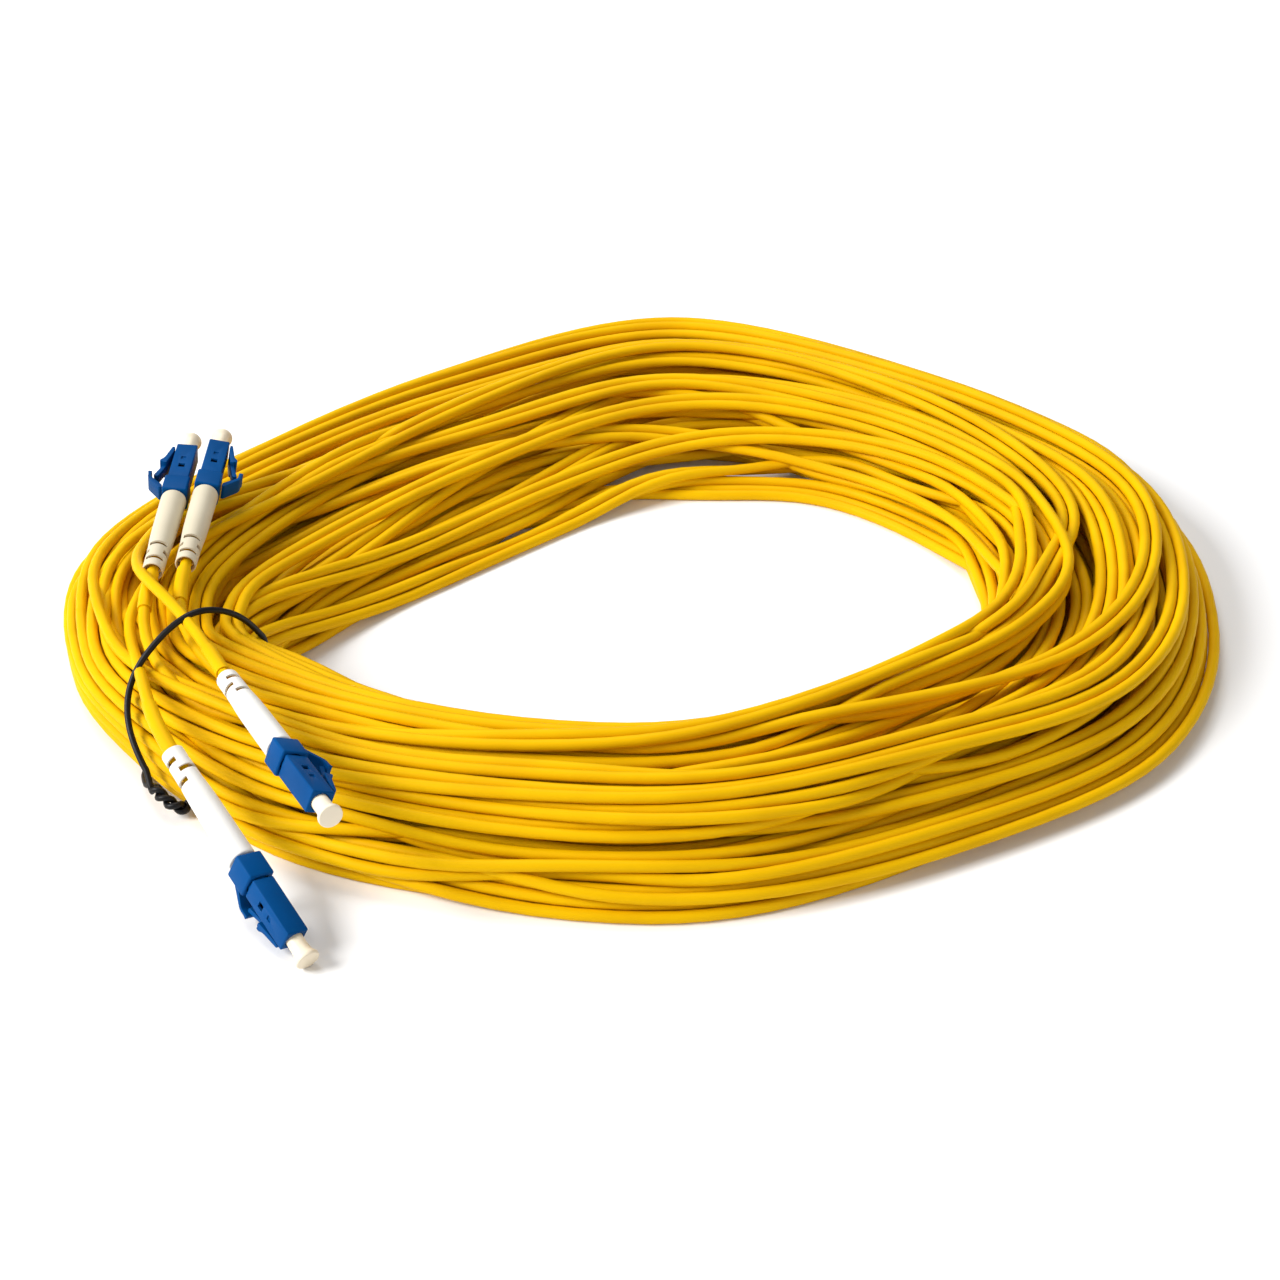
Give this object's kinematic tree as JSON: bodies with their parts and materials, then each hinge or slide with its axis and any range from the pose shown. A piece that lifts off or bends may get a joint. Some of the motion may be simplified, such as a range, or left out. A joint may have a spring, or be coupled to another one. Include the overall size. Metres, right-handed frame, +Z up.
{
  "type": "fiber optic patch cord",
  "caption": "Yellow duplex fibre patch cord laid in a flat oval coil held by a black twist tie, with blue LC plugs in white boots and ivory dust caps.",
  "frame": {"origin": "bottom centre of the box round the four plugs, on the surface that the coil lies on", "axes": "+Z up; +Y away from the viewer of the picture, along the two plugs that lie side by side on the coil; +X to the right, towards the middle of the coil"},
  "size_m": [0.2483, 0.24, 0.0299],
  "materials": {
    "jacket_yellow": "smooth satin PVC",
    "boot_white": "moulded satin",
    "housing_blue": "moulded gloss",
    "cap_ivory": "soft moulded",
    "tie_black": "plastic-coated wire",
    "steel": "plain",
    "nickel": "nickel plated",
    "zirconia": "polished",
    "buffer_white": "smooth"
  },
  "bodies": {
    "cord_and_housings": {"coil": "jacket_yellow", "twist_tie": "tie_black", "leg_a": "jacket_yellow", "boot_a": "boot_white", "crimp_sleeve_a": "steel", "back_post_a": "nickel", "spring_a": "steel", "rear_body_a": "housing_blue", "front_housing_a": "housing_blue", "leg_b": "jacket_yellow", "boot_b": "boot_white", "crimp_sleeve_b": "steel", "back_post_b": "nickel", "spring_b": "steel", "rear_body_b": "housing_blue", "front_housing_b": "housing_blue", "leg_c": "jacket_yellow", "boot_c": "boot_white", "crimp_sleeve_c": "steel", "back_post_c": "nickel", "spring_c": "steel", "rear_body_c": "housing_blue", "front_housing_c": "housing_blue", "leg_d": "jacket_yellow", "boot_d": "boot_white", "crimp_sleeve_d": "steel", "back_post_d": "nickel", "spring_d": "steel", "rear_body_d": "housing_blue", "front_housing_d": "housing_blue"},
    "cap_a": {"dust_cap_a": "cap_ivory"},
    "ferrule_group_a": {"ferrule_a": "zirconia", "ferrule_flange_a": "nickel", "buffered_fibre_a": "buffer_white"},
    "trigger_arm_a": {"trigger_a": "housing_blue"},
    "latch_blade_a": {"latch_a": "housing_blue"},
    "cap_b": {"dust_cap_b": "cap_ivory"},
    "ferrule_group_b": {"ferrule_b": "zirconia", "ferrule_flange_b": "nickel", "buffered_fibre_b": "buffer_white"},
    "trigger_arm_b": {"trigger_b": "housing_blue"},
    "latch_blade_b": {"latch_b": "housing_blue"},
    "cap_c": {"dust_cap_c": "cap_ivory"},
    "ferrule_group_c": {"ferrule_c": "zirconia", "ferrule_flange_c": "nickel", "buffered_fibre_c": "buffer_white"},
    "trigger_arm_c": {"trigger_c": "housing_blue"},
    "latch_blade_c": {"latch_c": "housing_blue"},
    "cap_d": {"dust_cap_d": "cap_ivory"},
    "ferrule_group_d": {"ferrule_d": "zirconia", "ferrule_flange_d": "nickel", "buffered_fibre_d": "buffer_white"},
    "trigger_arm_d": {"trigger_d": "housing_blue"},
    "latch_blade_d": {"latch_d": "housing_blue"}
  },
  "joints": [
    {"name": "cap_slide_a", "type": "slide", "parent": "cord_and_housings", "child": "cap_a", "axis": [0.0105, 0.9988, 0.0488], "range_m": [0, 0.006]},
    {"name": "ferrule_slide_a", "type": "slide", "parent": "cord_and_housings", "child": "ferrule_group_a", "axis": [0.0105, 0.9988, 0.0488], "range_m": [-0.001, 0], "stiffness_N_per_m": 1500, "deforming": ["spring_a"]},
    {"name": "trigger_hinge_a", "type": "hinge", "parent": "cord_and_housings", "child": "trigger_arm_a", "pos_m": [-0.02369, 0.05276, 0.02463], "axis": [-0.0866, 0.0496, -0.995], "range_deg": [0, 19], "stiffness_Nm_per_rad": 0.02},
    {"name": "latch_hinge_a", "type": "hinge", "parent": "cord_and_housings", "child": "latch_blade_a", "pos_m": [-0.02324, 0.06724, 0.02532], "axis": [0.0866, -0.0496, 0.995], "range_deg": [0, 10]},
    {"name": "cap_slide_b", "type": "slide", "parent": "cord_and_housings", "child": "cap_b", "axis": [0.0105, 0.9993, 0.0366], "range_m": [0, 0.006]},
    {"name": "ferrule_slide_b", "type": "slide", "parent": "cord_and_housings", "child": "ferrule_group_b", "axis": [0.0105, 0.9993, 0.0366], "range_m": [-0.001, 0], "stiffness_N_per_m": 1500, "deforming": ["spring_b"]},
    {"name": "trigger_hinge_b", "type": "hinge", "parent": "cord_and_housings", "child": "trigger_arm_b", "pos_m": [-0.01077, 0.05455, 0.02393], "axis": [0.2075, -0.038, 0.9775], "range_deg": [0, 19], "stiffness_Nm_per_rad": 0.02},
    {"name": "latch_hinge_b", "type": "hinge", "parent": "cord_and_housings", "child": "latch_blade_b", "pos_m": [-0.01091, 0.06903, 0.02452], "axis": [-0.2075, 0.038, -0.9775], "range_deg": [0, 10]},
    {"name": "cap_slide_c", "type": "slide", "parent": "cord_and_housings", "child": "cap_c", "axis": [0.48, -0.8768, 0.0279], "range_m": [0, 0.006]},
    {"name": "ferrule_slide_c", "type": "slide", "parent": "cord_and_housings", "child": "ferrule_group_c", "axis": [0.48, -0.8768, 0.0279], "range_m": [-0.001, 0], "stiffness_N_per_m": 1500, "deforming": ["spring_c"]},
    {"name": "trigger_hinge_c", "type": "hinge", "parent": "cord_and_housings", "child": "trigger_arm_c", "pos_m": [0.01775, -0.04489, 0.02508], "axis": [-0.3585, -0.2251, -0.906], "range_deg": [0, 19], "stiffness_Nm_per_rad": 0.02},
    {"name": "latch_hinge_c", "type": "hinge", "parent": "cord_and_housings", "child": "latch_blade_c", "pos_m": [0.02447, -0.05774, 0.02561], "axis": [0.3585, 0.2251, 0.906], "range_deg": [0, 10]},
    {"name": "cap_slide_d", "type": "slide", "parent": "cord_and_housings", "child": "cap_d", "axis": [0.5567, -0.7578, -0.3404], "range_m": [0, 0.006]},
    {"name": "ferrule_slide_d", "type": "slide", "parent": "cord_and_housings", "child": "ferrule_group_d", "axis": [0.5567, -0.7578, -0.3404], "range_m": [-0.001, 0], "stiffness_N_per_m": 1500, "deforming": ["spring_d"]},
    {"name": "trigger_hinge_d", "type": "hinge", "parent": "cord_and_housings", "child": "trigger_arm_d", "pos_m": [0.00748, -0.05805, 0.00655], "axis": [-0.7263, -0.6428, 0.2434], "range_deg": [0, 19], "stiffness_Nm_per_rad": 0.02},
    {"name": "latch_hinge_d", "type": "hinge", "parent": "cord_and_housings", "child": "latch_blade_d", "pos_m": [0.01568, -0.06907, 0.00189], "axis": [0.7263, 0.6428, -0.2434], "range_deg": [0, 10]}
  ],
  "couplings": [
    {"joint": "latch_hinge_a", "follows": "trigger_hinge_a", "ratio": 0.457},
    {"joint": "latch_hinge_b", "follows": "trigger_hinge_b", "ratio": 0.457},
    {"joint": "latch_hinge_c", "follows": "trigger_hinge_c", "ratio": 0.457},
    {"joint": "latch_hinge_d", "follows": "trigger_hinge_d", "ratio": 0.457}
  ]
}
